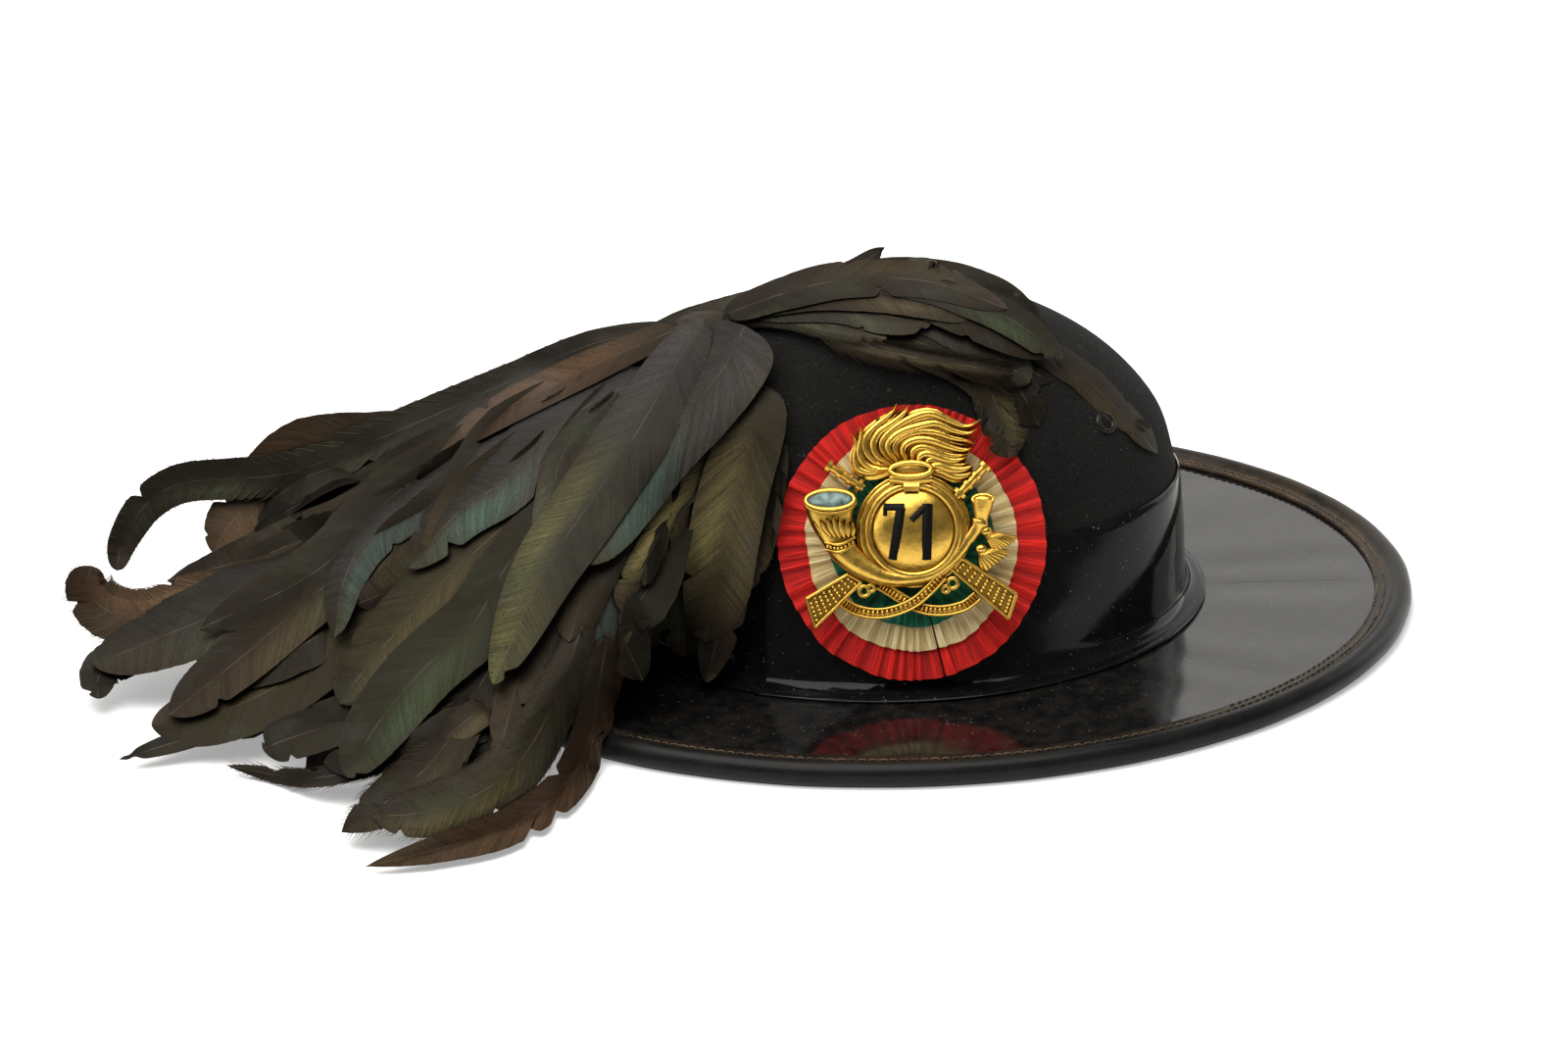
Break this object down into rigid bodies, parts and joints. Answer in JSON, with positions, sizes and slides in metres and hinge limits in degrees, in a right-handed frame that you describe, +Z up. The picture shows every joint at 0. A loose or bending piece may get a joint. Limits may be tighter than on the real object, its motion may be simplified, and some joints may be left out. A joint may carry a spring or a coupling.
{
  "type": "plumed rifleman's hat",
  "caption": "Round-crowned black felt hat with a wide patent-leather brim and band, a pleated tricolour cockade with a brass badge, and a falling plume of dark cock feathers.",
  "frame": {"origin": "centre of the head opening, on the surface that the rolled edge of the brim rests on", "axes": "+X towards the wearer's front, -Y towards the wearer's right, where the cockade is, +Z up"},
  "size_m": [0.4495, 0.3508, 0.1241],
  "materials": {
    "felt": "matt wool felt",
    "patent_leather": "glossy patent",
    "edge_leather": "satin, stitched",
    "blacked_metal": "black lacquer",
    "red_ribbon": "ribbed silk ribbon",
    "white_ribbon": "ribbed silk ribbon",
    "green_ribbon": "ribbed silk ribbon",
    "brass": "bright struck brass with dark recesses",
    "feather": "dark glossy cock feather"
  },
  "bodies": {
    "root": {"crown": "felt", "vent_eyelet_right": "blacked_metal", "vent_eyelet_left": "blacked_metal", "hat_band": "patent_leather", "brim": "patent_leather", "brim_edge": "edge_leather", "cockade_red": "red_ribbon", "cockade_white": "white_ribbon", "cockade_green": "green_ribbon", "badge": "brass", "plume": "feather"}
  },
  "joints": []
}
